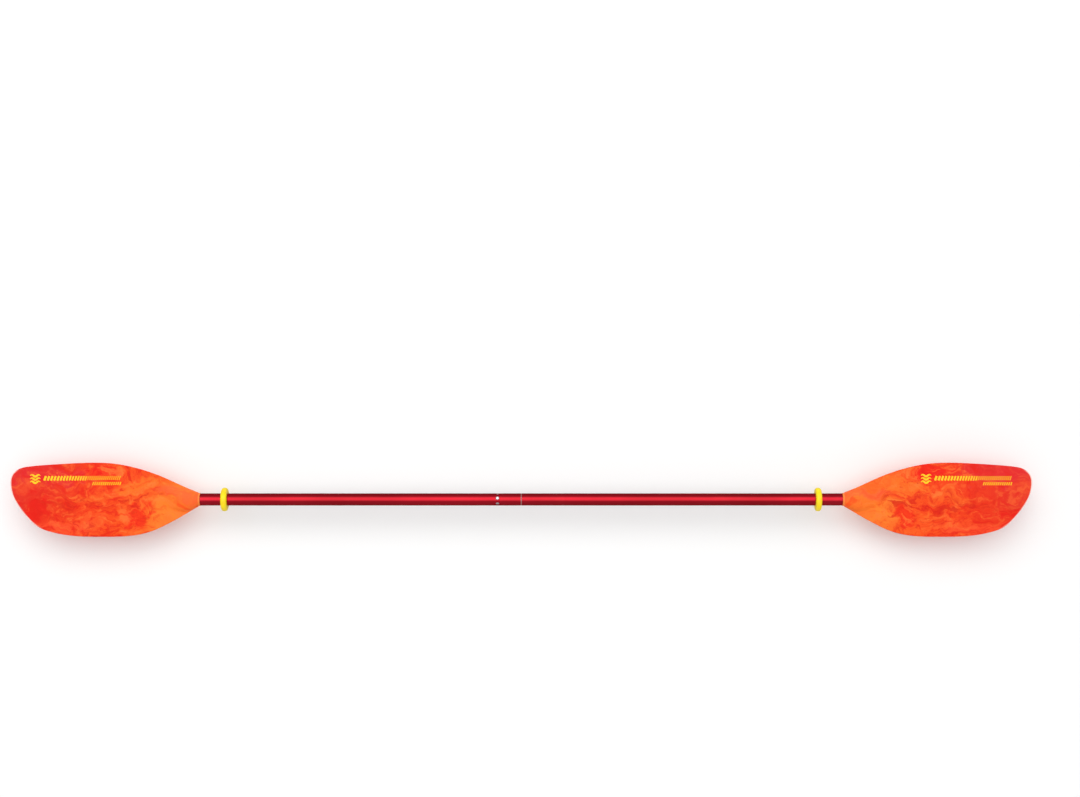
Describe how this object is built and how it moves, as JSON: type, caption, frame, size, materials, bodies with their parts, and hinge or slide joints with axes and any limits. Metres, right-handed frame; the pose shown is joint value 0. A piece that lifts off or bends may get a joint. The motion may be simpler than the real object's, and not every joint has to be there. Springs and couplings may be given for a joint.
{
  "type": "kayak paddle",
  "caption": "Two-piece kayak paddle with moulded asymmetric spoon blades, a round metal shaft with a pull-apart snap-button joint, and a drip ring near each blade.",
  "frame": {"origin": "centre of the shaft's middle joint, which is the centre of the bounding box", "axes": "+X along the shaft toward the half that carries the inner sleeve, +Y toward the long edge of both blades, +Z the way the power faces look"},
  "size_m": [2.4, 0.1748, 0.055],
  "materials": {
    "blade_plastic": "satin moulded, marbled orange to crimson",
    "anodised_tube": "red anodised, satin",
    "sleeve_metal": "drawn, satin",
    "rivet_metal": "plain",
    "button_steel": "satin",
    "spring_steel": "rolled",
    "seal_rubber": "matt light grey",
    "ring_rubber": "satin yellow",
    "plug_foam": "closed-cell foam"
  },
  "bodies": {
    "left_half": {"left_blade": "blade_plastic", "left_shaft_tube": "anodised_tube", "left_blade_rivet": "rivet_metal", "left_foam_plug": "plug_foam"},
    "joint_ring": {"joint_seal_ring": "seal_rubber"},
    "right_half": {"right_blade": "blade_plastic", "right_shaft_tube": "anodised_tube", "ferrule_sleeve": "sleeve_metal", "ferrule_rivet": "rivet_metal", "button_spring": "spring_steel", "right_blade_rivet": "rivet_metal", "right_foam_plug": "plug_foam"},
    "button": {"snap_button": "button_steel"},
    "left_ring": {"left_drip_ring": "ring_rubber"},
    "right_ring": {"right_drip_ring": "ring_rubber"}
  },
  "joints": [
    {"name": "pull_apart", "type": "slide", "parent": "left_half", "child": "joint_ring", "axis": [1, 0, 0], "range_m": [0, 0.15], "deforming": ["snap_button", "button_spring"]},
    {"name": "feather", "type": "hinge", "parent": "joint_ring", "child": "right_half", "pos_m": [0, 0, 0], "axis": [1, 0, 0], "range_deg": [-60, 60], "deforming": ["snap_button", "button_spring"]},
    {"name": "button_press", "type": "slide", "parent": "right_half", "child": "button", "axis": [0, -0.2588, -0.9659], "range_m": [0, 0.0052], "stiffness_N_per_m": 700, "springref_m": -0.006, "deforming": ["button_spring"]},
    {"name": "left_ring_slide", "type": "slide", "parent": "left_half", "child": "left_ring", "axis": [1, 0, 0], "range_m": [-0.018, 0.62]},
    {"name": "right_ring_slide", "type": "slide", "parent": "right_half", "child": "right_ring", "axis": [-1, 0, 0], "range_m": [-0.018, 0.62]}
  ]
}
